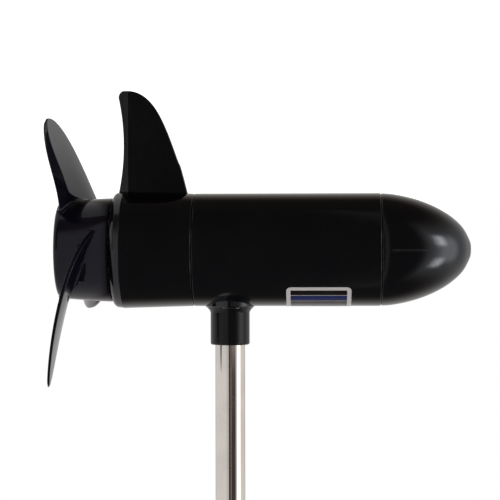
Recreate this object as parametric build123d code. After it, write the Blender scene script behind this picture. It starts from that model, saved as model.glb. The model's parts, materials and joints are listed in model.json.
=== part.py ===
from build123d import *
from math import atan, cos, pi, radians, sin, sqrt, tan
import os

# Lower unit of an electric trolling motor, in millimetres.
# The motor's shaft lies along X, with the nose at +X and the propeller at -X.
# The mounting tube stands up along Z above x = 0 and the skeg points down.
# Shapes are drawn with z = 0 on the shaft's axis. save() lowers each one, so that
# the part's origin is the centre of the tube's upper end.

# Driving dimensions
tube_radius = 14.0
tube_bonded_radius = 13.4
tube_wall = 1.6
tube_top = 300.0
housing_radius = 52.7
housing_bore = 48.0
tail_x = -108.5
rear_seam_x = -33.0
front_seam_x = 140.5
nose_tip_x = 224.6
propeller_radius = 138.5
hub_front_x = -109.4
hub_rear_x = -160.3

# Tube seat and collar
boss_radius = 23.2
boss_bevel = 1.3
boss_top = 53.9
boss_bottom = 38.0
tube_seat = 40.0
seal_radius = 17.0
seal_height = 2.6
collar_radius = 18.3
collar_foot_radius = 21.3
collar_foot_height = 4.1
collar_bottom = boss_top + 0.5
collar_top = 88.7
cable_hole_radius = 10.5
collar_rounding = 1.8

# Label
label_start = 53.2
label_end = 112.9
label_thickness = 0.25
label_half_angle = 49.3
label_corner_radius = 4.5

# Casings
seam_bevel = 0.7
seam_gap = 0.3
spigot_length = 6.0
spigot_radius = housing_bore - 0.1
spigot_bore = 43.5
o_ring_thickness = 2.0
o_ring_groove_half = 1.2
end_wall = 10.0
sleeve_radius = 21.0
nose_wall = 4.8
skeg_half = 3.6
skeg_edge_half = 2.0
skeg_bevel_length = 9.3
skeg_tip = -148.9
skeg_edge_radius = 0.8

# Shaft, bearings and seals (a 12 x 32 x 10 mm ball bearing at each end)
shaft_radius = 6.0
journal_radius = 7.5
thread_radius = 4.75
thread_start_x = -142.0
bearing_radius = 16.0
bearing_width = 10.0
ball_radius = 2.95
ball_pitch = 11.0
ball_count = 7
race_gap = 0.05
outer_race_bore = 12.6
inner_race_radius = 9.4
rear_bearing_x = -62.0
front_bearing_x = 126.0
oil_seal_radius = 12.0
oil_seal_width = 7.0
running_gap = 0.05

# Electric motor
flux_radius = 44.5
magnet_bore = 37.6
magnet_half_angle = 65.0
magnet_start = 24.0
magnet_end = 102.0
flux_start = 23.5
flux_end = 110.0
core_radius = 36.5
core_start = 28.0
core_end = 98.0
slot_count = 15
commutator_radius = 14.0
commutator_collar_radius = 17.0
commutator_collar_end = 6.0
commutator_start = -23.5
commutator_end = 2.0
brush_plate_rear = rear_seam_x + spigot_length
brush_plate_front = brush_plate_rear + 3.0
brush_length_x = 10.0
brush_width_y = 8.0
brush_centre_x = -16.0
brush_top = 26.0
spring_top = 33.0
lead_radius = 2.0

# Through bolts
bolt_offset = 41.5
bolt_radius = 2.5
bolt_hole_radius = 2.75
bolt_head_radius = 4.25
bolt_seat_x = tail_x + 6.5
bolt_tip_x = 154.0

# Propeller
blade_count = 3
hub_front_radius = 48.5
hub_rear_radius = 45.6
hub_wall = 3.6
hub_web = 3.0
hub_web_x = -123.4
hub_rib_count = 6
hub_rib_half = 1.3
hub_rib_rear_x = -149.0
pin_x = -112.5
pin_radius = 2.5
hub_boss_radius = 13.0
hub_boss_start = -138.0
hub_boss_end = -111.0
blade_root_x = -138.7
blade_root_radius = 45.7

# Sizes of a blade's section: at the hub, at the tip, and a bulge between them
blade_chord = (82.8, 38.1, 27.9)
blade_pitch = (123.4, 74.4, 0)
blade_bevel = (14.1, 3.9, 9.2)
leading_rim = (4.0, 2.2, 0)
trailing_rim = 1.2
bevel_fall = 0.27
heel_bevel = 24.9
heel_span = 0.18
blade_seat = 1.5

# How far a blade turns and leans back: a start, a slope and a curve along its span
blade_skew = (-6.4, 57.9, -18.6)
blade_rake = (0, 33.8, -11.5)


def save(name, shape):
    export_step(Pos(0, 0, -tube_top) * shape, f"parts/{name}.step")


def turned(*outline):
    """A solid of revolution about the shaft's axis, from (x, radius) points."""
    return revolve(make_face(Polyline(*outline, close=True)), Axis.X)


def ring_x(start, end, outer, inner):
    """A plain ring about the shaft's axis."""
    return turned((start, inner), (start, outer), (end, outer), (end, inner))


def rod_x(start, end, radius, y=0.0, z=0.0):
    """A rod along X, off the shaft's axis by y and z."""
    return Solid.make_cylinder(radius, end - start, Plane(origin=(start, y, z), z_dir=(1, 0, 0)))


def rod_z(bottom, top, radius):
    """A rod along the mounting tube's axis."""
    return Solid.make_cylinder(radius, top - bottom, Plane(origin=(0, 0, bottom), z_dir=(0, 0, 1)))


def ring_z(bottom, top, outer, inner):
    """A plain ring about the mounting tube's axis."""
    return rod_z(bottom, top, outer) - rod_z(bottom, top, inner)


def block(x, y, z):
    """A box between two limits along each axis."""
    return Pos((x[0] + x[1]) / 2, (y[0] + y[1]) / 2, (z[0] + z[1]) / 2) * Box(
        x[1] - x[0], y[1] - y[0], z[1] - z[0]
    )


def bolt_rods(start, end, radius):
    """One rod on each side of the shaft, where the through bolts run."""
    return rod_x(start, end, radius, y=bolt_offset) + rod_x(start, end, radius, y=-bolt_offset)


# Casings


def centre_housing():
    """The motor's cylindrical casing, with the raised seat that takes the tube."""
    shell = turned(
        (rear_seam_x, housing_bore),
        (rear_seam_x, housing_radius - seam_bevel),
        (rear_seam_x + seam_bevel, housing_radius),
        (front_seam_x - seam_bevel, housing_radius),
        (front_seam_x, housing_radius - seam_bevel),
        (front_seam_x, housing_bore),
    )
    seat_profile = Polyline(
        (0, boss_bottom),
        (boss_radius - 3, boss_bottom),
        (boss_radius, boss_bottom + 3),
        (boss_radius, boss_top - boss_bevel),
        (boss_radius - boss_bevel, boss_top),
        (0, boss_top),
        close=True,
    )
    housing = shell + revolve(Plane.XZ * make_face(seat_profile), Axis.Z)
    housing -= rod_z(tube_seat, boss_top + 1, tube_bonded_radius)
    housing -= rod_z(boss_top - seal_height, boss_top + 1, seal_radius)
    housing -= rod_z(boss_bottom - 1, boss_top, cable_hole_radius)
    return housing


def skeg():
    """The fin under the rear casing: flat sides, a bevelled trailing edge, a rounded tip."""
    rear_x, front_x, top = -105.0, -38.6, -49.0
    bevel_x = rear_x + skeg_bevel_length
    heel_start = (-104.3, -142.8)
    heel_end = (bevel_x, skeg_tip)
    trailing = Spline((rear_x, top), (-99.5, -102.7), heel_start)
    heel = ThreePointArc(heel_start, (-102.4, -147.3), heel_end)
    toe_points = [heel_end, (-84.0, -146.0), (-64.9, -124.1), (-47.8, -81.2), (front_x, top)]
    toe = Spline(*toe_points, tangents=((1, 0), (0.25, 1)))
    root = Line((front_x, top), (rear_x, top))
    side_view = make_face(Curve() + [trailing, heel, toe, root])
    slab = extrude(Plane.XZ * side_view, amount=skeg_half, both=True)
    plan_view = Polyline(
        (rear_x - 2, skeg_edge_half),
        (bevel_x, skeg_half),
        (front_x, skeg_half),
        (front_x, -skeg_half),
        (bevel_x, -skeg_half),
        (rear_x - 2, -skeg_edge_half),
        close=True,
    )
    column = extrude(make_face(plan_view), amount=top - skeg_tip + 2)
    fin = slab & (Pos(0, 0, skeg_tip - 1) * column)

    def on_leading_edge(edge):
        middle = edge @ 0.5
        return middle.X > -90 and abs(middle.Y) > 1 and middle.Z < top - 3

    return fillet(fin.edges().filter_by(on_leading_edge), skeg_edge_radius)


def rear_housing():
    """The tail casting: shaft sleeve, seal and bearing seats, and the skeg."""
    rounding = ThreePointArc((tail_x, 48.6), (tail_x + 1.3, 52.0), (tail_x + 4.2, 53.8))
    step = Polyline(rounding @ 1, (tail_x + 9.1, 54.3), (tail_x + 9.1, 54.6))
    front = Polyline(
        step @ 1,
        (rear_seam_x - seam_gap - seam_bevel, housing_radius),
        (rear_seam_x - seam_gap, housing_radius - seam_bevel),
        (rear_seam_x - seam_gap, spigot_radius),
        (brush_plate_rear, spigot_radius),
        (brush_plate_rear, 0),
        (tail_x, 0),
        (tail_x, 48.6),
    )
    shell = revolve(make_face(Curve() + [rounding, step, front]), Axis.X)
    inner_x = tail_x + end_wall
    cavity = turned(
        (inner_x, sleeve_radius),
        (inner_x, housing_bore),
        (rear_seam_x - 13, housing_bore),
        (rear_seam_x - 7, spigot_bore),
        (brush_plate_rear + 1, spigot_bore),
        (brush_plate_rear + 1, 0),
        (rear_bearing_x + bearing_width + 2, 0),
        (rear_bearing_x + bearing_width + 2, sleeve_radius),
    )
    casting = shell - cavity
    for angle in (0, 90, 180, 270):
        rib = block((inner_x - 1, -70), (-2, 2), (sleeve_radius - 1, housing_bore + 1))
        casting += Rot(angle, 0, 0) * rib
    casting -= rod_x(tail_x - 1, 0, journal_radius + 0.5)
    casting -= rod_x(tail_x - 1, tail_x + 15.2, oil_seal_radius)
    casting -= rod_x(rear_bearing_x, 0, bearing_radius)
    casting -= bolt_rods(tail_x - 1, 0, bolt_hole_radius)
    casting -= bolt_rods(tail_x - 1, bolt_seat_x, bolt_head_radius + 0.75)
    groove_x = rear_seam_x + spigot_length / 2
    groove = (groove_x - o_ring_groove_half, groove_x + o_ring_groove_half)
    casting -= ring_x(*groove, housing_bore + 1, housing_bore - o_ring_thickness)
    casting += skeg()
    return casting


def nose_outline(radius, start, length):
    """The nose's curved outline: full radius at its start, blunt at its tip."""
    steps = 8
    points = []
    for step in range(steps + 1):
        along = sin(pi / 2 * step / steps)
        points.append((start + length * along, radius * sqrt(1 - along**1.68)))
    return Spline(*points, tangents=((1, 0), (0, -1)))


def nose_cone():
    """The nose casting: a bearing seat on four webs, and the bolts' tapped bosses."""
    length = nose_tip_x - front_seam_x
    start = front_seam_x + seam_gap
    curve = nose_outline(housing_radius - 0.3, start + 0.6, length - seam_gap - 0.6)
    outer = Curve() + [
        curve,
        Polyline(
            curve @ 1,
            (front_seam_x - spigot_length, 0),
            (front_seam_x - spigot_length, spigot_radius),
            (start, spigot_radius),
            (start, housing_radius - 0.9),
            curve @ 0,
        ),
    ]
    shell = revolve(make_face(outer), Axis.X)
    hollow = nose_outline(spigot_bore, start, length - nose_wall - 4)
    inner = Curve() + [
        hollow,
        Polyline(
            hollow @ 1,
            (front_seam_x - spigot_length - 1, 0),
            (front_seam_x - spigot_length - 1, spigot_bore),
            hollow @ 0,
        ),
    ]
    cavity = revolve(make_face(inner), Axis.X)
    web_end = 156.0
    seat = rod_x(front_bearing_x - 1, web_end - 6, sleeve_radius)
    for angle in (0, 90, 180, 270):
        seat += Rot(angle, 0, 0) * block((front_seam_x - 4, web_end), (-2.5, 2.5), (0, spigot_bore + 1))
    seat += bolt_rods(front_seam_x - spigot_length, web_end + 2, 6.0)
    body = rod_x(front_bearing_x - 2, front_seam_x - spigot_length, sleeve_radius) + shell
    casting = (shell - cavity) + (seat & body)
    casting -= rod_x(front_bearing_x - 3, front_bearing_x + bearing_width + 1.6, bearing_radius)
    casting -= rod_x(front_bearing_x, web_end - 8, 9.0)
    casting -= bolt_rods(front_seam_x - spigot_length - 1, bolt_tip_x, bolt_radius)
    groove_x = front_seam_x - spigot_length / 2
    groove = (groove_x - o_ring_groove_half, groove_x + o_ring_groove_half)
    casting -= ring_x(*groove, housing_bore + 1, housing_bore - o_ring_thickness)
    return casting


def o_ring(x):
    """A rubber ring that seals a spigot inside the centre housing."""
    radius = housing_bore - o_ring_thickness / 2
    return Solid.make_torus(radius, o_ring_thickness / 2, Plane(origin=(x, 0, 0), z_dir=(1, 0, 0)))


def through_bolts():
    """The two socket-head bolts that hold the casings together."""
    head_x = bolt_seat_x - 1.0
    bolts = bolt_rods(head_x, bolt_tip_x - 1, bolt_radius) + bolt_rods(head_x - 5, head_x, bolt_head_radius)
    socket = extrude(RegularPolygon(2.3, 6), amount=2.6)
    for y in (bolt_offset, -bolt_offset):
        bolts -= Pos(head_x - 5, y, 0) * Rot(0, 90, 0) * socket
    return bolts


def bolt_seals():
    return bolt_rods(bolt_seat_x - 1, bolt_seat_x, bolt_head_radius + 0.5) - bolt_rods(
        bolt_seat_x - 2, bolt_seat_x + 1, bolt_radius
    )


# Tube


def tube():
    """The stainless tube, turned down slightly where it is bonded into its seat and collar."""
    bonded = rod_z(tube_seat, collar_top, tube_bonded_radius)
    free = rod_z(collar_top, tube_top, tube_radius)
    return bonded + free - rod_z(tube_seat, tube_top, tube_radius - tube_wall)


def tube_collar():
    """The moulded collar round the tube, flared where it meets the seat."""
    foot_top = collar_bottom + collar_foot_height
    foot_start = Line((tube_bonded_radius, collar_bottom), (collar_foot_radius, collar_bottom))
    flare = ThreePointArc(
        foot_start @ 1,
        (collar_radius + 0.95, collar_bottom + 2.1),
        (collar_radius, foot_top),
    )
    sleeve = Polyline(
        flare @ 1,
        (collar_radius, collar_top),
        (tube_bonded_radius, collar_top),
        foot_start @ 0,
    )
    collar = revolve(Plane.XZ * make_face(Curve() + [foot_start, flare, sleeve]), Axis.Z)
    top_edges = collar.edges().filter_by(GeomType.CIRCLE).sort_by(Axis.Z)[-2:]
    return fillet(top_edges.sort_by(lambda edge: edge.radius)[-1], collar_rounding)


def label():
    """The printed film wrapped over the top of the centre housing, with rounded corners."""
    film = ring_x(label_start, label_end, housing_radius + label_thickness, housing_radius)
    reach = housing_radius * 2
    aside = reach * tan(radians(label_half_angle))
    outline = Polyline((0, 0), (aside, reach), (-aside, reach), close=True)
    wedge = extrude(Plane.YZ * make_face(outline), amount=label_end + 1)
    sheet = film & wedge
    corners = sheet.edges().filter_by(lambda edge: edge.length < 2 * label_thickness)
    return fillet(corners, label_corner_radius)


# Bearings, seals and shaft


def ball_track(x):
    """The round groove that the balls roll in, for a bearing starting at x."""
    centre = Plane(origin=(x + bearing_width / 2, 0, 0), z_dir=(1, 0, 0))
    return Solid.make_torus(ball_pitch, ball_radius + race_gap, centre)


def bearing_outer(x):
    return ring_x(x, x + bearing_width, bearing_radius, outer_race_bore) - ball_track(x)


def bearing_inner(x):
    return ring_x(x, x + bearing_width, inner_race_radius, shaft_radius) - ball_track(x)


def ball_places(x):
    for ball in range(ball_count):
        yield Rot(360 / ball_count * ball, 0, 0) * Pos(x + bearing_width / 2, 0, ball_pitch)


def bearing_balls(x):
    return Compound([place * Solid.make_sphere(ball_radius) for place in ball_places(x)])


def bearing_cage(x):
    middle = x + bearing_width / 2
    cage = ring_x(middle - 3.5, middle + 3.5, 11.7, 10.3)
    for place in ball_places(x):
        cage -= place * Solid.make_sphere(ball_radius + race_gap)
    return cage


def oil_seal(x):
    """A lip seal: an outer band, a web and a lip that bears on the shaft."""
    lip = shaft_radius + running_gap
    end = x + oil_seal_width
    return turned(
        (x, oil_seal_radius),
        (end, oil_seal_radius),
        (end, oil_seal_radius - 1.6),
        (x + 2, oil_seal_radius - 1.6),
        (x + 2, lip + 1.8),
        (x + 4.5, lip + 1.2),
        (x + 4.5, lip),
        (x, lip),
    )


def wave_washer():
    start = front_bearing_x + bearing_width
    return ring_x(start, start + 1.2, bearing_radius - 0.3, outer_race_bore)


def armature_shaft():
    """The steel shaft: threaded tail, drive-pin hole and thicker middle."""
    tail = hub_rear_x + 8
    shaft = turned(
        (tail, 0),
        (tail, thread_radius - 0.6),
        (tail + 0.6, thread_radius),
        (thread_start_x, thread_radius),
        (thread_start_x, shaft_radius),
        (rear_bearing_x + bearing_width, shaft_radius),
        (rear_bearing_x + bearing_width, journal_radius),
        (front_bearing_x, journal_radius),
        (front_bearing_x, shaft_radius),
        (front_bearing_x + bearing_width + 1, shaft_radius),
        (front_bearing_x + bearing_width + 1, 0),
    )
    return shaft - Pos(pin_x, 0, 0) * Rot(90, 0, 0) * Cylinder(pin_radius, 30)


# Electric motor


def magnet(side):
    """An arc magnet above (1) or below (-1) the shaft."""
    band = ring_x(magnet_start, magnet_end, flux_radius, magnet_bore)
    reach = flux_radius * 1.5
    spread = reach / tan(radians(magnet_half_angle))
    sides = [(reach, spread), (reach, reach), (-reach, reach), (-reach, spread)]
    outline = Polyline((0, 0), *sides, close=True)
    wedge = extrude(Plane.YZ * make_face(outline), amount=magnet_end + 1)
    return band & (wedge if side > 0 else Rot(180, 0, 0) * wedge)


def slot_bars(width, bottom, top, start, end):
    bars = block((start, end), (-width / 2, width / 2), (bottom, top))
    return [Rot(360 / slot_count * index, 0, 0) * bars for index in range(slot_count)]


def armature_core():
    core = ring_x(core_start, core_end, core_radius, journal_radius)
    core -= Compound(slot_bars(6.6, 20, 32.8, core_start - 1, core_end + 1))
    core -= Compound(slot_bars(2.2, 30, core_radius + 1, core_start - 1, core_end + 1))
    return core


def armature_windings():
    """Copper coils: bars in the core's slots, joined by the rounded end turns."""
    rear = turned((6, 9), (6, 15), (15, 17), (17, 30), (19, 33), (core_start, 33), (core_start, 9))
    front = turned((core_end, 9), (core_end, 33), (107, 33), (110, 30), (110, 12), (108, 9))
    coils = rear + front
    for bar in slot_bars(6.4, 20.1, 32.6, core_start - 1, core_end + 1):
        coils += bar
    return coils


def commutator():
    """Copper segments with a raised collar for the winding ends."""
    body = turned(
        (commutator_start, journal_radius),
        (commutator_start, commutator_radius),
        (commutator_end, commutator_radius),
        (commutator_end, commutator_collar_radius),
        (commutator_collar_end, commutator_collar_radius),
        (commutator_collar_end, journal_radius),
    )
    gaps = slot_bars(0.6, commutator_radius - 1.2, 20, commutator_start - 1, commutator_collar_end + 1)
    return body - Compound(gaps)


def brush_plate():
    plate = ring_x(brush_plate_rear, brush_plate_front, housing_bore - 0.5, 12)
    return plate - bolt_rods(-40, 0, bolt_hole_radius)


def brush(side):
    """A carbon block, hollowed at its tip to the commutator's radius."""
    half_x = brush_length_x / 2
    half_y = brush_width_y / 2
    carbon = block((brush_centre_x - half_x, brush_centre_x + half_x), (-half_y, half_y), (10, brush_top))
    carbon -= rod_x(-40, 10, commutator_radius + running_gap)
    return carbon if side > 0 else Rot(180, 0, 0) * carbon


def brush_holder(side):
    """A brass box on the brush plate, with the tab that takes the lead."""
    wall = 1.9
    slide = 0.1
    half_x = brush_length_x / 2 + slide
    half_y = brush_width_y / 2 + slide
    rear = brush_plate_front
    front = brush_centre_x + half_x + wall
    holder = block((rear, front), (-half_y - wall, half_y + wall), (17, spring_top + 1.5))
    holder -= block((brush_centre_x - half_x, brush_centre_x + half_x), (-half_y, half_y), (10, spring_top))
    holder += block((rear, rear + 1.5), (half_y + wall - 1, 22), (20, 30))
    return holder if side > 0 else Rot(180, 0, 0) * holder


def brush_spring(side):
    """A coil spring between the brush and the closed end of its holder."""
    wire = 0.4
    coil = 2.8
    height = spring_top - brush_top - 2 * wire
    path = Edge.make_helix(height / 4, height, coil, center=(brush_centre_x, 0, brush_top + wire))
    section = Plane(origin=path @ 0, z_dir=path % 0) * Circle(wire)
    spring = sweep(section, path=path, is_frenet=True)
    return spring if side > 0 else Rot(180, 0, 0) * spring


def lead(*points):
    """An insulated wire: straight runs joined by bends."""
    path = FilletPolyline(*points, radius=6)
    section = Plane(origin=path @ 0, z_dir=path % 0) * Circle(lead_radius)
    return sweep(section, path=path)


# Propeller


def along_blade(sizes, span):
    """A size of the section at a span of 0, at the hub, to 1, at the tip."""
    root, tip, bulge = sizes
    return root * (1 - span) + tip * span + bulge * span * (1 - span)


def curved(terms, span):
    start, slope, curve = terms
    return start + slope * span + curve * span**2


def blade_back(span):
    """The flat rear skin's line: places along the chord, with heights."""
    half = along_blade(blade_chord, span) * sqrt(1 - max(span, 0) ** 6) / 2
    return [(half * (step / 4 - 1), -blade_seat) for step in range(9)]


def blade_front(span):
    """The front skin's line: from the leading rim up to a crest, then down a bevel."""
    half = along_blade(blade_chord, span) * sqrt(1 - max(span, 0) ** 6) / 2
    bevel = along_blade(blade_bevel, span)
    crest_height = trailing_rim + bevel_fall * bevel - blade_seat
    bevel = min(bevel + heel_bevel * max(0, 1 - span / heel_span) ** 2, 1.5 * half)
    rim_height = along_blade(leading_rim, span) - blade_seat
    end_height = trailing_rim - blade_seat
    face = 2 * half - bevel
    points = []
    for part in (0, 0.25, 0.5, 0.75, 0.94):
        points.append((-half + face * part, rim_height + (crest_height - rim_height) * part))
    for part in (0.1, 0.4, 0.7, 1):
        points.append((half - bevel * (1 - part), crest_height + (end_height - crest_height) * part))
    return points


def on_blade(span, place, height, turn):
    """The point of a section laid round the shaft at its own radius."""
    radius = blade_root_radius + (propeller_radius - blade_root_radius) * span
    slope = atan(along_blade(blade_pitch, span) / (2 * pi * radius))
    skew = radians(turn + curved(blade_skew, span))
    angle = skew + (place * cos(slope) + height * sin(slope)) / radius
    x = blade_root_x - curved(blade_rake, span) - place * sin(slope) + height * cos(slope)
    return Vector(x, radius * sin(angle), -radius * cos(angle))


def blade(turn):
    """One swept blade, closed by its two skins and four narrow edges."""
    spans = (-0.03, 0.03, 0.08, 0.13, 0.19, 0.29, 0.42, 0.58, 0.73, 0.85, 0.93, 0.97, 0.99, 0.998)
    skins = []
    for line in (blade_front, blade_back):
        sections = []
        for span in spans:
            points = [on_blade(span, place, height, turn) for place, height in line(span)]
            sections.append(Wire([Edge.make_spline(points)]))
        skins.append(Shell.make_loft(sections).faces()[0])
    walls = []
    for edge in skins[0].edges():
        middle = edge @ 0.5
        facing = min(skins[1].edges(), key=lambda other: (other @ 0.5 - middle).length)
        walls.append(Face.make_surface_from_curves(edge, facing))
    return Solid(Shell(skins + walls))


def propeller():
    """Three swept blades on a hub with a ribbed, open rear."""
    rim = Polyline(
        (hub_front_x, 0),
        (hub_front_x, hub_front_radius - 0.9),
        (hub_front_x - 0.9, hub_front_radius),
    )
    taper = Spline(
        rim @ 1,
        (-131, hub_front_radius - 1),
        (hub_rear_x + 3.7, hub_rear_radius),
        tangents=((-1, 0), (-1, -0.09)),
    )
    rounding = ThreePointArc(
        taper @ 1,
        (hub_rear_x + 1.1, hub_rear_radius - 0.9),
        (hub_rear_x, hub_rear_radius - 3.4),
    )
    back = Polyline(rounding @ 1, (hub_rear_x, 0), (hub_front_x, 0))
    hub = revolve(make_face(Curve() + [rim, taper, rounding, back]), Axis.X)
    for turn in range(0, 360, 360 // blade_count):
        hub += blade(turn)
    front_room = turned(
        (hub_front_x + 1, 0),
        (hub_front_x + 1, hub_front_radius - hub_wall),
        (hub_web_x, hub_front_radius - hub_wall - 0.3),
        (hub_web_x, 0),
    )
    rear_room = turned(
        (hub_rear_x - 1, 0),
        (hub_rear_x - 1, hub_rear_radius - hub_wall - 1.2),
        (hub_web_x - hub_web, hub_front_radius - hub_wall - 1.5),
        (hub_web_x - hub_web, 0),
    )
    hub = hub - front_room - rear_room
    hub += rod_x(hub_boss_start, hub_boss_end, hub_boss_radius)
    rib = block(
        (hub_rib_rear_x, hub_web_x),
        (-hub_rib_half, hub_rib_half),
        (hub_boss_radius - 1, hub_rear_radius - hub_wall + 0.5),
    )
    for place in range(hub_rib_count):
        hub += Rot(360 / hub_rib_count * (place + 0.5), 0, 0) * rib
    hub -= rod_x(hub_boss_start - 20, hub_boss_end + 5, shaft_radius + 0.05)
    hub -= block((pin_x - pin_radius, hub_boss_end + 1), (-15, 15), (-pin_radius, pin_radius))
    return hub


def drive_pin():
    return Pos(pin_x, 0, 0) * Rot(90, 0, 0) * Cylinder(pin_radius, 25)


def prop_washer():
    return ring_x(-140, hub_boss_start, 11, shaft_radius + 0.1)


def prop_nut():
    """A flanged lock nut with a nylon collar."""
    hexagon = Pos(-148, 0, 0) * Rot(0, 90, 0) * extrude(RegularPolygon(8.1, 6), amount=7)
    nut = hexagon + rod_x(-141.5, -140, 10) + rod_x(-150, -148, 6.8)
    nut -= rod_x(-142, -139, shaft_radius + 0.1)
    return nut - rod_x(-151, -139, thread_radius)


os.makedirs("parts", exist_ok=True)

save("centre_housing", centre_housing())
save("rear_housing", rear_housing())
save("nose_cone", nose_cone())
save("rear_o_ring", o_ring(rear_seam_x + spigot_length / 2))
save("front_o_ring", o_ring(front_seam_x - spigot_length / 2))
save("through_bolts", through_bolts())
save("bolt_seals", bolt_seals())

save("tube", tube())
save("tube_seal", ring_z(boss_top - seal_height, boss_top, seal_radius, tube_bonded_radius))
save("tube_collar", tube_collar())
save("label", label())

for end, start_x in (("rear", rear_bearing_x), ("front", front_bearing_x)):
    save(f"{end}_bearing_outer", bearing_outer(start_x))
    save(f"{end}_bearing_inner", bearing_inner(start_x))
    save(f"{end}_bearing_balls", bearing_balls(start_x))
    save(f"{end}_bearing_cage", bearing_cage(start_x))
save("shaft_seal_outer", oil_seal(tail_x + 0.6))
save("shaft_seal_inner", oil_seal(tail_x + 0.8 + oil_seal_width))
save("wave_washer", wave_washer())
save("armature_shaft", armature_shaft())

save("flux_ring", ring_x(flux_start, flux_end, housing_bore, flux_radius))
save("armature_core", armature_core())
save("armature_windings", armature_windings())
save("commutator", commutator())
save("brush_plate", brush_plate())
for place, side in (("upper", 1), ("lower", -1)):
    save(f"magnet_{place}", magnet(side))
    save(f"brush_{place}", brush(side))
    save(f"brush_holder_{place}", brush_holder(side))
    save(f"brush_spring_{place}", brush_spring(side))

tab_x = brush_plate_front + 1.5
tube_end = tube_top - 4
save("lead_positive", lead((2, 7, tube_end), (2, 7, 34), (2, 18, 25), (tab_x, 18, 25)))
save(
    "lead_negative",
    lead((2, -7, tube_end), (2, -7, 34), (2, -27, 16), (2, -27, -14), (2, -18, -25), (tab_x, -18, -25)),
)

save("propeller", propeller())
save("prop_washer", prop_washer())
save("prop_nut", prop_nut())
save("drive_pin", drive_pin())
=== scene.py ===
import json
import math

import bmesh
import bpy
from mathutils import Matrix, Vector


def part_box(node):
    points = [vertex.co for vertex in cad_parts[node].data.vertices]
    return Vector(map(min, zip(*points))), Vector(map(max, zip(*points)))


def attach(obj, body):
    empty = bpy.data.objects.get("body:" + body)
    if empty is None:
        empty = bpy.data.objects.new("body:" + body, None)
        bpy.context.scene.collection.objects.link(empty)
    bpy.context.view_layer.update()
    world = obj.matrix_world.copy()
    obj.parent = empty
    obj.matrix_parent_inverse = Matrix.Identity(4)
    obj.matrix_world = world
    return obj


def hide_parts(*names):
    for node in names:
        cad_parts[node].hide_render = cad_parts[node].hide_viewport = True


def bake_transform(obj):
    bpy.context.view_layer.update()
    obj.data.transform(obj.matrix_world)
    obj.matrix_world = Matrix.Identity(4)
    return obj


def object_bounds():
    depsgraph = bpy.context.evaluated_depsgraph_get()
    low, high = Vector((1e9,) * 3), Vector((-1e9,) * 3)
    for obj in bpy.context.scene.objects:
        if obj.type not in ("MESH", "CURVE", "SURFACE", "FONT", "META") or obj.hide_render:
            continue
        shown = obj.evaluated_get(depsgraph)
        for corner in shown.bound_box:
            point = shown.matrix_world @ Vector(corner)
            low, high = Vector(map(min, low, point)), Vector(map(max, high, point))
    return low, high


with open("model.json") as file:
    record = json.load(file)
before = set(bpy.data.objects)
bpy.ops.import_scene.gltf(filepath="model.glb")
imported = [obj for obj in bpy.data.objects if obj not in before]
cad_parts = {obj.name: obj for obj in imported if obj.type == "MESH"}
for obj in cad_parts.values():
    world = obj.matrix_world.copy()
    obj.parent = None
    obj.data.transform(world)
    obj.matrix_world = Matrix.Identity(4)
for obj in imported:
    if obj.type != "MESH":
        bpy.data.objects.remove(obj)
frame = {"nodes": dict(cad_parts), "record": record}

cad_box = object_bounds()

# Lengths are in metres, except in the propeller's formulas, which work in millimetres.
# The shaft runs along X at y = 0 and z = shaft_z. The tube stands up along Z.

MM = 0.001
DEGREE = math.pi / 180
flux_low, flux_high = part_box("flux_ring")
shaft_z = (flux_low.z + flux_high.z) / 2
casing_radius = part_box("centre_housing")[1].y
label_low, label_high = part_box("label")


class Graph:
    """A short way to add and join the nodes of one material or world."""

    def __init__(self, tree):
        self.tree = tree

    def add(self, kind, **settings):
        node = self.tree.nodes.new(kind)
        for name, value in settings.items():
            setattr(node, name, value)
        return node

    def feed(self, socket, value):
        if isinstance(value, bpy.types.NodeSocket):
            self.tree.links.new(value, socket)
        elif value is not None:
            socket.default_value = value

    def math(self, operation, first, second=None, third=None):
        node = self.add("ShaderNodeMath", operation=operation)
        for socket, value in zip(node.inputs, (first, second, third)):
            self.feed(socket, value)
        return node.outputs[0]

    def fade(self, value, start, end, low=0.0, high=1.0):
        """A smooth step from low, at start, to high, at end."""
        node = self.add("ShaderNodeMapRange", interpolation_type="SMOOTHSTEP")
        for socket, amount in zip(node.inputs, (value, start, end, low, high)):
            self.feed(socket, amount)
        return node.outputs[0]

    def between(self, value, low, high, soft):
        """1 where value is between low and high, with soft ends."""
        rise = self.fade(value, low - soft, low + soft)
        fall = self.fade(value, high - soft, high + soft, 1.0, 0.0)
        return self.math("MULTIPLY", rise, fall)

    def split(self, vector):
        node = self.add("ShaderNodeSeparateXYZ")
        self.feed(node.inputs[0], vector)
        return node.outputs

    def noise(self, vector, scale, detail=3.0, stretch=(1, 1, 1)):
        node = self.add("ShaderNodeMapping")
        self.feed(node.inputs["Vector"], vector)
        node.inputs["Scale"].default_value = stretch
        texture = self.add("ShaderNodeTexNoise")
        self.feed(texture.inputs["Vector"], node.outputs[0])
        texture.inputs["Scale"].default_value = scale
        texture.inputs["Detail"].default_value = detail
        return texture.outputs[0]

    def mix(self, factor, first, second):
        """A colour between first, at 0, and second, at 1."""
        node = self.add("ShaderNodeMix", data_type="RGBA")
        self.feed(node.inputs[0], factor)
        for socket, color in ((node.inputs[6], first), (node.inputs[7], second)):
            self.feed(socket, color if isinstance(color, bpy.types.NodeSocket) else (*color, 1))
        return node.outputs[2]


# Camera: level with the shaft, on the +Y side, and upside down, so that the skeg is at the top


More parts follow.
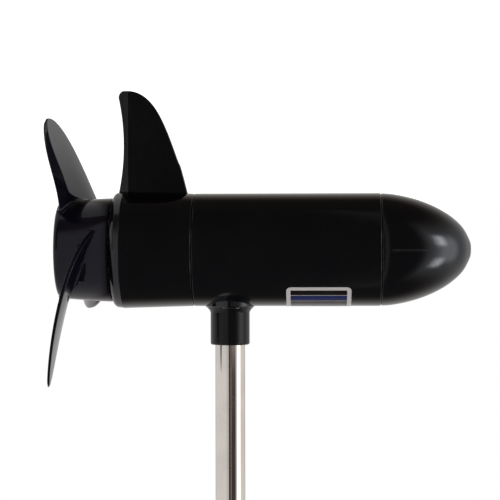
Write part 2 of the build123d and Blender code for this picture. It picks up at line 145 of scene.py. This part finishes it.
def add_camera():
    """A long lens 1.63 m away, almost square to the casing."""
    height = shaft_z + 0.3 * MM
    eye = Vector((0.084, 1.633, height))
    target = Vector((0.0187, 0.0, height))
    camera = bpy.data.objects.new("camera", bpy.data.cameras.new("camera"))
    camera.data.sensor_width = 36.0
    camera.data.lens = 125.7
    camera.data.clip_end = 50.0
    facing = (target - eye).to_track_quat("-Z", "Y").to_matrix().to_4x4()
    upside_down = Matrix.Rotation(math.pi - 0.1 * DEGREE, 4, "Z")
    camera.matrix_world = Matrix.Translation(eye) @ facing @ upside_down
    bpy.context.scene.collection.objects.link(camera)
    bpy.context.scene.camera = camera


def light_studio():
    """A white tent round the object. It is dark behind the camera, with a bright window to one side.

    Its parts lie between two azimuths, in degrees from +Y towards +X, and two heights above the horizon.
    """
    world = bpy.data.worlds.new("studio")
    bpy.context.scene.world = world
    world.use_nodes = True
    world.node_tree.nodes.clear()
    g = Graph(world.node_tree)
    direction = g.add("ShaderNodeTexCoord").outputs["Generated"]
    x, y, z = g.split(direction)
    azimuth = g.math("ARCTAN2", x, y)
    height = g.math("ARCSINE", z)

    def sector(first, last, soft):
        return g.between(azimuth, first * DEGREE, last * DEGREE, soft * DEGREE)

    def belt(lowest, highest, soft):
        return g.between(height, lowest * DEGREE, highest * DEGREE, soft * DEGREE)

    def both(first, second):
        return g.math("MULTIPLY", first, second)

    gap = sector(-22.5, 46.5, 8)
    walls = both(belt(-39, 47, 23), g.math("SUBTRACT", 1.0, gap))
    beside = g.fade(x, -0.13, -0.19, 0.0, 0.8)
    tent = both(g.math("MAXIMUM", walls, beside), 0.87)
    far_side = g.fade(y, -0.6, -0.85, 1.0, 0.72)
    tent = both(tent, far_side)
    screen = both(sector(-52, -22, 4), g.fade(height, -0.5 * DEGREE, -2 * DEGREE))
    tent = both(tent, g.fade(screen, 0.0, 1.0, 1.0, 0.12))

    window = both(sector(59, 86, 8), belt(-24, 24, 10))
    panes = both(sector(57, 68, 6), g.math("ADD", belt(-27, -8, 5), belt(19, 35, 5)))
    slit = sector(6, 11, 1.5)
    streak = both(sector(15, 46, 3), belt(0.9, 3.2, 0.6))
    level = tent
    for light, strength in ((window, 1.7), (panes, 6.0), (slit, 0.3), (streak, 0.45)):
        level = g.math("MULTIPLY_ADD", light, strength, level)

    room_level = 0.068
    dim_color = (1.0, 0.80, 0.68)
    bright_color = (1.0, 0.975, 0.945)
    felt = g.add("ShaderNodeBackground")
    g.feed(felt.inputs["Color"], g.mix(g.fade(level, 0.0, 0.6), dim_color, bright_color))
    g.feed(felt.inputs["Strength"], g.math("ADD", level, room_level))
    seen = g.add("ShaderNodeBackground")
    seen.inputs["Color"].default_value = (1, 1, 1, 1)
    mix = g.add("ShaderNodeMixShader")
    g.feed(mix.inputs[0], g.add("ShaderNodeLightPath").outputs["Is Camera Ray"])
    g.feed(mix.inputs[1], felt.outputs[0])
    g.feed(mix.inputs[2], seen.outputs[0])
    g.feed(g.add("ShaderNodeOutputWorld").inputs["Surface"], mix.outputs[0])


def add_floor():
    """A plain pale floor just below the skeg. It keeps its glow out of the object's reflections."""
    low = cad_box[0][2] - 12 * MM
    size = 6.0
    mesh = bpy.data.meshes.new("floor")
    corners = [(-size, -size, low), (size, -size, low), (size, size, low), (-size, size, low)]
    mesh.from_pydata(corners, [], [(0, 1, 2, 3)])
    floor = bpy.data.objects.new("floor", mesh)
    bpy.context.scene.collection.objects.link(floor)
    floor.visible_glossy = False
    floor.visible_diffuse = False
    material = bpy.data.materials.new("pale_floor")
    material.use_nodes = True
    shader = material.node_tree.nodes["Principled BSDF"]
    shader.inputs["Base Color"].default_value = (0.9, 0.9, 0.9, 1)
    shader.inputs["Roughness"].default_value = 0.9
    shader.inputs["Emission Color"].default_value = (1, 1, 1, 1)
    shader.inputs["Emission Strength"].default_value = 0.75
    mesh.materials.append(material)


# Materials


class Look:
    """What one finish looks like: its colours, gloss, surface grain and wear along edges."""

    def __init__(self, color, patch, roughness, grain, depth, **rest):
        self.color = color
        self.patch = patch
        self.roughness = roughness
        self.grain = grain
        self.depth = depth
        self.stretch = rest.get("stretch", (1, 1, 1))
        self.patch_scale = rest.get("patch_scale", 40.0)
        self.metallic = rest.get("metallic", 0.0)
        self.specular = rest.get("specular", 0.5)
        self.tint = rest.get("tint", (1, 1, 1))
        self.coat = rest.get("coat", 0.0)
        self.worn = rest.get("worn", tuple(min(1.0, c * 1.6 + 0.01) for c in color))
        self.wear = rest.get("wear", 0.5)
        self.edge = rest.get("edge", 0.5 * MM)


LENGTHWISE = (1.0, 0.0, 0.0)
DRAWN_Z = (1.0, 1.0, 0.015)

looks = {
    "black_casting": Look(
        (0.0038, 0.0044, 0.0062), (0.0046, 0.0052, 0.0070), (0.10, 0.125), 500, 0.004 * MM,
        patch_scale=22, worn=(0.012, 0.012, 0.013), wear=0.4, edge=0.6 * MM, tint=(0.85, 0.90, 1.0),
    ),
    "propeller_plastic": Look(
        (0.0050, 0.0049, 0.0110), (0.0066, 0.0065, 0.0135), (0.07, 0.10), 400, 0.002 * MM,
        patch_scale=25, worn=(0.035, 0.035, 0.04), wear=0.4, specular=0.27, tint=(0.82, 0.81, 1.0),
    ),
    "collar_plastic": Look(
        (0.006, 0.006, 0.0068), (0.008, 0.008, 0.009), (0.22, 0.28), 1800, 0.015 * MM,
        specular=0.22, tint=(0.9, 0.92, 1.0), wear=0.3,
    ),
    "stainless_tube": Look(
        (0.63, 0.60, 0.575), (0.59, 0.56, 0.54), (0.07, 0.11), 1500, 0.003 * MM,
        stretch=DRAWN_Z, metallic=1.0, worn=(0.7, 0.68, 0.66), wear=0.3,
    ),
    "rubber_seal": Look(
        (0.016, 0.016, 0.016), (0.026, 0.025, 0.024), (0.55, 0.75), 1500, 0.03 * MM, wear=0.2,
    ),
    "machined_steel": Look(
        (0.56, 0.56, 0.57), (0.48, 0.48, 0.5), (0.2, 0.32), 1800, 0.008 * MM,
        stretch=LENGTHWISE, metallic=1.0, worn=(0.7, 0.7, 0.7),
    ),
    "stainless_fastener": Look(
        (0.6, 0.59, 0.57), (0.5, 0.49, 0.48), (0.22, 0.34), 900, 0.01 * MM,
        stretch=(1.0, 0.2, 0.2), metallic=1.0, worn=(0.75, 0.74, 0.72),
    ),
    "flux_steel": Look(
        (0.36, 0.36, 0.38), (0.28, 0.28, 0.27), (0.35, 0.5), 600, 0.02 * MM, metallic=1.0,
    ),
    "laminated_steel": Look(
        (0.32, 0.32, 0.33), (0.2, 0.2, 0.21), (0.35, 0.5), 2000, 0.09 * MM,
        stretch=LENGTHWISE, metallic=1.0,
    ),
    "magnet_ferrite": Look(
        (0.055, 0.054, 0.056), (0.085, 0.082, 0.08), (0.6, 0.75), 900, 0.05 * MM, patch_scale=90,
        worn=(0.16, 0.15, 0.15),
    ),
    "winding_copper": Look(
        (0.5, 0.18, 0.06), (0.32, 0.1, 0.035), (0.2, 0.35), 1300, 0.25 * MM,
        stretch=(0.1, 1.0, 1.0), metallic=0.8, coat=0.5, worn=(0.6, 0.25, 0.1),
    ),
    "commutator_copper": Look(
        (0.7, 0.34, 0.18), (0.45, 0.2, 0.1), (0.2, 0.38), 2500, 0.01 * MM,
        stretch=LENGTHWISE, metallic=1.0, worn=(0.85, 0.5, 0.32),
    ),
    "holder_brass": Look(
        (0.66, 0.5, 0.2), (0.5, 0.36, 0.14), (0.28, 0.42), 1200, 0.012 * MM,
        stretch=(1.0, 1.0, 0.1), metallic=1.0, worn=(0.8, 0.65, 0.35),
    ),
    "brush_carbon": Look(
        (0.03, 0.03, 0.032), (0.055, 0.055, 0.06), (0.45, 0.6), 2500, 0.03 * MM, worn=(0.1, 0.1, 0.1),
    ),
    "plate_laminate": Look(
        (0.26, 0.13, 0.055), (0.19, 0.09, 0.035), (0.4, 0.5), 900, 0.02 * MM,
        stretch=(1.0, 1.0, 0.15), worn=(0.4, 0.26, 0.15),
    ),
    "cage_nylon": Look(
        (0.62, 0.6, 0.52), (0.52, 0.5, 0.42), (0.4, 0.5), 1200, 0.01 * MM, worn=(0.7, 0.68, 0.6),
    ),
    "spring_steel": Look(
        (0.42, 0.42, 0.44), (0.3, 0.3, 0.33), (0.25, 0.35), 2000, 0.008 * MM, metallic=1.0,
    ),
    "lead_red": Look(
        (0.42, 0.015, 0.015), (0.34, 0.012, 0.012), (0.38, 0.5), 1200, 0.015 * MM, worn=(0.5, 0.05, 0.05),
    ),
    "lead_black": Look(
        (0.012, 0.012, 0.013), (0.02, 0.02, 0.021), (0.38, 0.5), 1200, 0.015 * MM,
    ),
}


def new_material(name):
    material = bpy.data.materials.new(name)
    material.use_nodes = True
    graph = Graph(material.node_tree)
    return material, graph, material.node_tree.nodes["Principled BSDF"]


def rounded_normal(g, radius):
    """The surface's direction with its sharp edges softened."""
    bevel = g.add("ShaderNodeBevel", samples=6)
    bevel.inputs["Radius"].default_value = radius
    return bevel.outputs[0]


def edge_wear(g, soft_normal, breakup, amount):
    """Up to amount along sharp edges, broken up by a noise."""
    product = g.add("ShaderNodeVectorMath", operation="DOT_PRODUCT")
    g.feed(product.inputs[0], soft_normal)
    g.feed(product.inputs[1], g.add("ShaderNodeNewGeometry").outputs["Normal"])
    turn = g.math("SUBTRACT", 1.0, product.outputs["Value"])
    edge = g.fade(turn, 0.01, 0.2, 0.0, amount)
    return g.math("MULTIPLY", edge, g.fade(breakup, 0.4, 0.62))


def bumped(g, height, depth, normal):
    bump = g.add("ShaderNodeBump")
    bump.inputs["Strength"].default_value = 1.0
    bump.inputs["Distance"].default_value = depth
    g.feed(bump.inputs["Height"], height)
    g.feed(bump.inputs["Normal"], normal)
    return bump.outputs[0]


def make_finish(name, look):
    material, g, shader = new_material(name)
    place = g.add("ShaderNodeTexCoord").outputs["Object"]
    grain = g.noise(place, look.grain, 3.0, look.stretch)
    patches = g.noise(place, look.patch_scale, 5.0)
    fine = g.noise(place, look.patch_scale * 14, 2.0)
    soft_normal = rounded_normal(g, look.edge)
    wear = edge_wear(g, soft_normal, fine, look.wear)
    color = g.mix(g.fade(patches, 0.38, 0.62), look.color, look.patch)
    color = g.mix(wear, color, look.worn)
    low, high = look.roughness
    gloss = g.math("ADD", g.fade(patches, 0.35, 0.65, low, high), g.fade(grain, 0.3, 0.7, -0.02, 0.02))
    g.feed(shader.inputs["Base Color"], color)
    g.feed(shader.inputs["Roughness"], g.math("MULTIPLY_ADD", wear, 0.2, gloss))
    g.feed(shader.inputs["Normal"], bumped(g, grain, look.depth, soft_normal))
    shader.inputs["Metallic"].default_value = look.metallic
    shader.inputs["Specular IOR Level"].default_value = look.specular
    shader.inputs["Specular Tint"].default_value = (*look.tint, 1)
    shader.inputs["Coat Weight"].default_value = look.coat
    return material


def make_label_print():
    """Black film with a silver border, and a plain blue band between thin lines along each side."""
    material, g, shader = new_material("label_film")
    place = g.add("ShaderNodeTexCoord").outputs["Object"]
    x, y, z = g.split(place)
    along = g.math("SUBTRACT", x, (label_low.x + label_high.x) / 2)
    angle = g.math("ARCTAN2", y, g.math("SUBTRACT", z, shaft_z))
    across = g.math("ABSOLUTE", g.math("MULTIPLY", angle, casing_radius))
    film_thickness = 0.25 * MM
    half_along = (label_high.x - label_low.x) / 2
    half_across = math.asin(label_high.y / (casing_radius + film_thickness)) * casing_radius
    corner = 4.5 * MM
    border = 3.9 * MM
    print_edge = 0.15 * MM
    band_start = 25 * MM
    band_end = 34 * MM
    line_width = 0.9 * MM

    over_x = g.math("SUBTRACT", g.math("ABSOLUTE", along), half_along - corner)
    over_y = g.math("SUBTRACT", across, half_across - corner)
    outside = g.math("SQRT", g.math(
        "ADD",
        g.math("POWER", g.math("MAXIMUM", over_x, 0.0), 2.0),
        g.math("POWER", g.math("MAXIMUM", over_y, 0.0), 2.0),
    ))
    inside = g.math("MINIMUM", g.math("MAXIMUM", over_x, over_y), 0.0)
    distance = g.math("SUBTRACT", g.math("ADD", outside, inside), corner)
    silver = g.fade(distance, -border - print_edge, -border + print_edge)

    band = g.between(across, band_start, band_end, print_edge)
    band_and_lines = g.between(across, band_start - line_width, band_end + line_width, print_edge)
    lines = g.math("SUBTRACT", band_and_lines, band)

    speckle = g.noise(place, 3000, 2.0)
    clouds = g.fade(g.noise(place, 60, 4.0), 0.4, 0.6)
    film = g.mix(clouds, (0.006, 0.006, 0.007), (0.009, 0.009, 0.01))
    blue = g.mix(clouds, (0.012, 0.025, 0.12), (0.016, 0.032, 0.14))
    foil = g.mix(g.fade(speckle, 0.35, 0.65), (0.66, 0.66, 0.67), (0.8, 0.8, 0.8))
    ink = g.mix(lines, g.mix(band, film, blue), (0.45, 0.46, 0.48))
    g.feed(shader.inputs["Base Color"], g.mix(silver, ink, foil))
    scuffs = g.fade(g.noise(place, 160, 6.0), 0.35, 0.65, 0.14, 0.22)
    g.feed(shader.inputs["Roughness"], g.math("MULTIPLY_ADD", silver, 0.16, scuffs))
    print_height = g.math("ADD", g.math("MAXIMUM", silver, lines), g.math("MULTIPLY", speckle, 0.2))
    g.feed(shader.inputs["Normal"], bumped(g, print_height, 0.03 * MM, rounded_normal(g, 0.2 * MM)))
    return material


# Propeller, in millimetres from the shaft's axis

propeller_radius = 138.5
blade_count = 3
hub_front_x = -109.4
hub_front_radius = 48.5
hub_front_rounding = (1.6, 1.2)
hub_middle_x = -131.0
hub_middle_radius = 47.5
hub_rear_x = -160.3
hub_rear_radius = 45.6
hub_rear_rounding = (4.3, 3.6)
hub_wall = 3.6
hub_web_x = (-126.4, -123.4)
hub_boss_radius = 13.0
hub_boss_x = (-138.0, -111.0)
bore_radius = 6.05
rib_count = 6
rib_half = 1.3
rib_rear_x = -149.0
pin_x = -112.5
pin_radius = 2.5
blade_root_x = -138.7
blade_root_radius = 45.7
blade_buried_radius = 44.9
root_fillet = 2.6

# Sizes of a blade's section: at the hub, at the tip, and a bulge between them
blade_chord = (82.8, 38.1, 27.9)
blade_pitch = (123.4, 74.4, 0)
blade_bevel = (14.1, 3.9, 9.2)
leading_rim = (4.0, 2.2, 0)
trailing_rim = 1.2
bevel_fall = 0.27
heel_bevel = 24.9
heel_span = 0.18
blade_seat = 1.5
leading_rounding = 0.8
crest_rounding = 0.9
trailing_rounding = 0.5
tip_thinning_start = 0.985

# How far a blade turns and leans back: a start, a slope and a curve along its span
blade_skew = (-6.4, 57.9, -18.6)
blade_rake = (0, 33.8, -11.5)


def along_blade(sizes, span):
    """A size of the section at a span of 0, at the hub, to 1, at the tip."""
    root, tip, bulge = sizes
    return root * (1 - span) + tip * span + bulge * span * (1 - span)


def curved(terms, span):
    start, slope, curve = terms
    return start + slope * span + curve * span**2


def blade_spans():
    """Places along a blade, from inside the hub's wall to the tip: close together at both ends."""
    first = (blade_buried_radius - blade_root_radius) / (propeller_radius - blade_root_radius)
    last = 0.9985
    root_rows = 20
    root_step = 0.0035
    free_rows = 36
    crowding = 1.6
    near_hub = [first + root_step * row for row in range(root_rows)]
    reach = last - near_hub[-1]
    return near_hub + [last - reach * (1 - row / free_rows) ** crowding for row in range(1, free_rows + 1)]


def rounded(corners, cuts, divisions):
    """Points round a closed outline, with each corner cut back and rounded."""
    arc_steps = 5
    starts, ends = [], []
    count = len(corners)
    for index, corner in enumerate(corners):
        for other, places in ((corners[index - 1], starts), (corners[(index + 1) % count], ends)):
            away = other - corner
            places.append(corner + away * min(0.45, cuts[index] / away.length))
    points = []
    for index, corner in enumerate(corners):
        for step in range(arc_steps + 1):
            k = step / arc_steps
            points.append(starts[index].lerp(corner, k).lerp(corner.lerp(ends[index], k), k))
        for part in range(1, divisions[index]):
            points.append(ends[index].lerp(starts[(index + 1) % count], part / divisions[index]))
    return points


def hub_surface(x):
    """The radius of the hub's outside: level at the front, curving into a straight taper."""
    level_end = hub_front_x - hub_front_rounding[0]
    taper_end = hub_rear_x + hub_rear_rounding[0]
    if x > hub_middle_x:
        part = (level_end - x) / (level_end - hub_middle_x)
        return hub_front_radius - (hub_front_radius - hub_middle_radius) * part**1.58
    part = (hub_middle_x - x) / (hub_middle_x - taper_end)
    return hub_middle_radius - (hub_middle_radius - hub_rear_radius) * part


def root_flare(x, radius):
    """How far the fillet at a blade's root spreads where the blade stands at that radius."""
    above = radius - hub_surface(x)
    short = root_fillet - min(max(above, 0.0), root_fillet)
    return root_fillet - math.sqrt(root_fillet**2 - short**2)


def blade_ring(span, turn):
    """One section of a blade: a flat back, a thick leading rim and a bevelled trailing side."""
    radius = blade_root_radius + (propeller_radius - blade_root_radius) * span
    half = along_blade(blade_chord, span) * math.sqrt(1 - max(span, 0.0) ** 6) / 2
    slope = math.atan(along_blade(blade_pitch, span) / (2 * math.pi * radius))
    skew = math.radians(turn + curved(blade_skew, span))
    middle_x = blade_root_x - curved(blade_rake, span)
    flare = root_flare(middle_x, radius)

    bevel = along_blade(blade_bevel, span)
    crest = trailing_rim + bevel_fall * bevel
    bevel = min(bevel + heel_bevel * max(0.0, 1 - span / heel_span) ** 2, 1.5 * half)
    past_tip_start = max(0.0, span - tip_thinning_start) / (1 - tip_thinning_start)
    tip_thinning = math.sqrt(1 - past_tip_start**2)
    back = -blade_seat * tip_thinning
    outer = half + flare
    corners = [
        Vector((-outer, back - flare)),
        Vector((-outer, back + along_blade(leading_rim, span) * tip_thinning + flare)),
        Vector((half - bevel, back + crest * tip_thinning + flare)),
        Vector((outer, back + trailing_rim * tip_thinning + flare)),
        Vector((outer, back - flare)),
    ]
    leading_cut = leading_rounding + flare
    trailing_cut = trailing_rounding + flare
    cuts = [leading_cut, leading_cut, crest_rounding, trailing_cut, trailing_cut]
    ring = []
    for along, lift in rounded(corners, cuts, divisions=(2, 14, 8, 1, 20)):
        angle = skew + (along * math.cos(slope) + lift * math.sin(slope)) / radius
        x = middle_x - along * math.sin(slope) + lift * math.cos(slope)
        ring.append((x, radius * math.sin(angle), -radius * math.cos(angle)))
    return ring


def millimetre_mesh(name, points, faces):
    """An object whose points are given in millimetres from the shaft's axis."""
    mesh = bpy.data.meshes.new(name)
    mesh.from_pydata([(x * MM, y * MM, z * MM + shaft_z) for x, y, z in points], [], faces)
    mesh.validate()
    shape = bpy.data.objects.new(name, mesh)
    bpy.context.scene.collection.objects.link(shape)
    return shape


def tube_of_rings(name, rings, closed):
    """Rings of points joined by faces. The ends are joined to each other, or capped."""
    count = len(rings[0])
    points = [point for ring in rings for point in ring]
    faces = []
    for row in range(len(rings) if closed else len(rings) - 1):
        here = row * count
        after = (row + 1) % len(rings) * count
        for step in range(count):
            beside = (step + 1) % count
            faces.append((here + step, here + beside, after + beside, after + step))
    if not closed:
        faces.append(tuple(reversed(range(count))))
        faces.append(tuple(range(len(points) - count, len(points))))
    return millimetre_mesh(name, points, faces)


def blade_mesh(turn):
    return tube_of_rings("blade", [blade_ring(span, turn) for span in blade_spans()], closed=False)


def quarter(centre_x, centre_radius, size, start):
    """Points round a quarter of an ellipse, from a start angle in degrees."""
    steps = 6
    angles = [math.radians(start + 90 * step / steps) for step in range(steps + 1)]
    return [(centre_x + size[0] * math.cos(a), centre_radius + size[1] * math.sin(a)) for a in angles]


def hub_mesh():
    """The hub's closed outline, x and radius, turned about the shaft's axis."""
    level_end = hub_front_x - hub_front_rounding[0]
    taper_end = hub_rear_x + hub_rear_rounding[0]
    skin_start = level_end - 0.6
    skin_end = taper_end + 0.7
    skin_steps = 5
    rim_radius = hub_rear_radius - hub_rear_rounding[1]
    rim = 0.7
    cup_radius = hub_rear_radius - hub_wall - 1.2
    inner_radius = hub_front_radius - hub_wall
    web_rear, web_front = hub_web_x
    boss_rear, boss_front = hub_boss_x
    bevel = 0.6

    outline = quarter(level_end, hub_front_radius - hub_front_rounding[1], hub_front_rounding, 0)
    for step in range(skin_steps + 1):
        x = skin_start + (skin_end - skin_start) * step / skin_steps
        outline.append((x, hub_surface(x)))
    outline += quarter(taper_end, rim_radius, hub_rear_rounding, 90)
    outline += quarter(hub_rear_x + rim, rim_radius, (rim, rim_radius - cup_radius), 180)[1:]
    outline += [(web_rear, inner_radius - 1.5), (web_rear, hub_boss_radius)]
    outline += [(boss_rear + bevel, hub_boss_radius), (boss_rear, hub_boss_radius - bevel)]
    outline += [(boss_rear, bore_radius), (boss_front, bore_radius)]
    outline += [(boss_front, hub_boss_radius - bevel), (boss_front - bevel, hub_boss_radius)]
    outline += [(web_front, hub_boss_radius), (web_front, inner_radius - 0.3)]
    outline += [(hub_front_x - bevel, inner_radius), (hub_front_x, inner_radius + bevel)]
    count = 160
    rings = []
    for step in range(count):
        angle = 2 * math.pi * step / count
        rings.append([(x, r * math.sin(angle), -r * math.cos(angle)) for x, r in outline])
    return tube_of_rings("hub", rings, closed=True)


def rib_mesh(turn):
    """A flat rib from the boss to the hub's wall, in the open rear of the hub."""
    angle = math.radians(turn)
    across = Vector((0, math.cos(angle), math.sin(angle)))
    out = Vector((0, -math.sin(angle), math.cos(angle)))
    inner = hub_boss_radius - 1
    outer = hub_rear_radius - hub_wall + 0.5
    corners = ((inner, -rib_half), (outer, -rib_half), (outer, rib_half), (inner, rib_half))
    rings = []
    for x in (rib_rear_x, sum(hub_web_x) / 2):
        rings.append([Vector((x, 0, 0)) + out * reach + across * aside for reach, aside in corners])
    return tube_of_rings("rib", rings, closed=False)


def pin_slot_mesh():
    """The space for the drive pin across the front of the hub's boss."""
    reach = hub_boss_radius + 2
    corners = ((-reach, -pin_radius), (reach, -pin_radius), (reach, pin_radius), (-reach, pin_radius))
    rings = [[(x, y, z) for y, z in corners] for x in (pin_x - pin_radius, hub_boss_x[1] + 1)]
    return tube_of_rings("pin_slot", rings, closed=False)


def combine(base, others, operation):
    """Joins the others to the base with UNION, or cuts them out of it with DIFFERENCE."""
    for other in others:
        modifier = base.modifiers.new("combine", "BOOLEAN")
        modifier.operation = operation
        modifier.solver = "EXACT"
        modifier.object = other
    graph = bpy.context.evaluated_depsgraph_get()
    mesh = bpy.data.meshes.new_from_object(base.evaluated_get(graph))
    base.modifiers.clear()
    base.data = mesh
    for other in others:
        bpy.data.objects.remove(other)


def outward(shape):
    mesh = bmesh.new()
    mesh.from_mesh(shape.data)
    bmesh.ops.recalc_face_normals(mesh, faces=mesh.faces)
    mesh.to_mesh(shape.data)
    mesh.free()
    return shape


def add_propeller():
    """The moulded propeller: three thin swept blades with rounded rims, filleted into a ribbed hub."""
    propeller = outward(hub_mesh())
    parts = [outward(blade_mesh(360 * blade / blade_count)) for blade in range(blade_count)]
    parts += [outward(rib_mesh(360 / rib_count * (rib + 0.5))) for rib in range(rib_count)]
    combine(propeller, parts, "UNION")
    combine(propeller, [outward(pin_slot_mesh())], "DIFFERENCE")
    propeller.name = "propeller_moulding"
    mesh = propeller.data
    mesh.polygons.foreach_set("use_smooth", [True] * len(mesh.polygons))
    mesh.set_sharp_from_angle(angle=40 * DEGREE)
    mesh.materials.clear()
    mesh.materials.append(materials["propeller_plastic"])
    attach(propeller, "rotor")
    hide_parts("propeller")


def add_brush_springs():
    """Copies of the two brush springs' meshes, shown in place of their CAD nodes."""
    for place in ("upper", "lower"):
        node = "brush_spring_" + place
        spring = bpy.data.objects.new("spring_" + place, frame["nodes"][node].data.copy())
        bpy.context.scene.collection.objects.link(spring)
        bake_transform(spring)
        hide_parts(node)


materials = {name: make_finish(name, look) for name, look in looks.items()}
materials["label_film"] = make_label_print()
for entry in frame["record"]["subparts"]:
    node = frame["nodes"][entry["node"]]
    node.data.materials.clear()
    node.data.materials.append(materials[entry["material_slot"]])

add_propeller()
add_brush_springs()

bpy.context.scene.view_settings.view_transform = "Standard"
add_camera()
light_studio()
add_floor()
